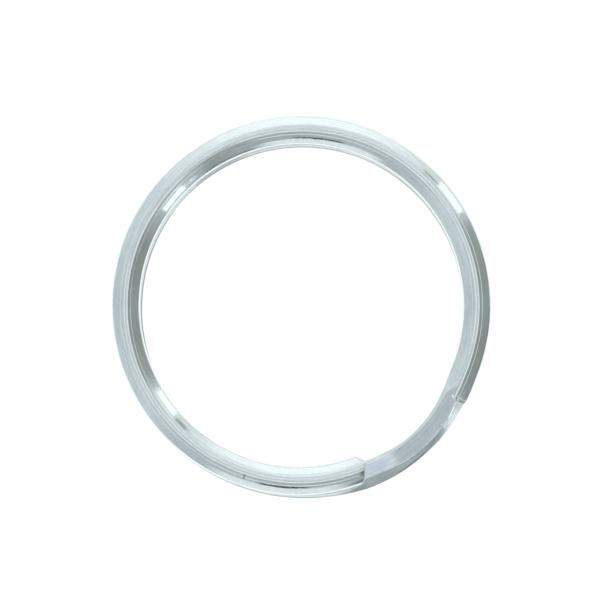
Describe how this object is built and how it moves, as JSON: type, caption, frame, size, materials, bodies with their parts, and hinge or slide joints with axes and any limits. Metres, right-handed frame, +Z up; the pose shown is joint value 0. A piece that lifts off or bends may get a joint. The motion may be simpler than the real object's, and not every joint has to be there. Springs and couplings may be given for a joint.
{
  "type": "split key ring",
  "caption": "Flat-wire split ring for keys: a sprung wire wound in two turns with a stepped crossover, opened at either end.",
  "frame": {"origin": "middle of the ring, on the surface that it lies on", "axes": "+Z up along the ring's axis; +Y towards the side opposite the crossover; the front turn's free end is at 292 degrees about +Z from +X"},
  "size_m": [0.03, 0.0302, 0.0029],
  "materials": {
    "nickel_plate": "bright nickel plate on spring steel, fine handling scratches"
  },
  "bodies": {
    "back_free_end": {"back_free_end": "nickel_plate", "back_turn_3": "nickel_plate"},
    "back_turn": {"back_turn_2": "nickel_plate"},
    "crossover": {"back_turn_1": "nickel_plate", "crossover": "nickel_plate", "front_turn_1": "nickel_plate"},
    "front_turn": {"front_turn_2": "nickel_plate"},
    "front_free_end": {"front_turn_3": "nickel_plate", "front_free_end": "nickel_plate"}
  },
  "joints": [
    {"name": "back_end_open", "type": "hinge", "parent": "back_free_end", "child": "back_turn", "pos_m": [-0.00241, 0.0135, 0.00082], "axis": [-0.9848, -0.1736, 0], "range_deg": [0, 4.14], "stiffness_Nm_per_rad": 1.94},
    {"name": "back_turn_flex", "type": "hinge", "parent": "back_turn", "child": "crossover", "pos_m": [-0.01061, -0.00904, 0.00082], "axis": [0.6428, -0.766, 0], "range_deg": [0, 4.14], "stiffness_Nm_per_rad": 1.94},
    {"name": "front_turn_flex", "type": "hinge", "parent": "crossover", "child": "front_turn", "pos_m": [0.0081, 0.01137, 0.00203], "axis": [-0.8111, 0.585, 0], "range_deg": [0, 4.14], "stiffness_Nm_per_rad": 1.94},
    {"name": "front_end_open", "type": "hinge", "parent": "front_turn", "child": "front_free_end", "pos_m": [-0.01378, 0.00154, 0.00203], "axis": [-0.1011, -0.9949, 0], "range_deg": [0, 4.14], "stiffness_Nm_per_rad": 1.94}
  ],
  "couplings": [
    {"joint": "back_turn_flex", "follows": "back_end_open", "ratio": 1},
    {"joint": "front_turn_flex", "follows": "front_end_open", "ratio": 1}
  ]
}
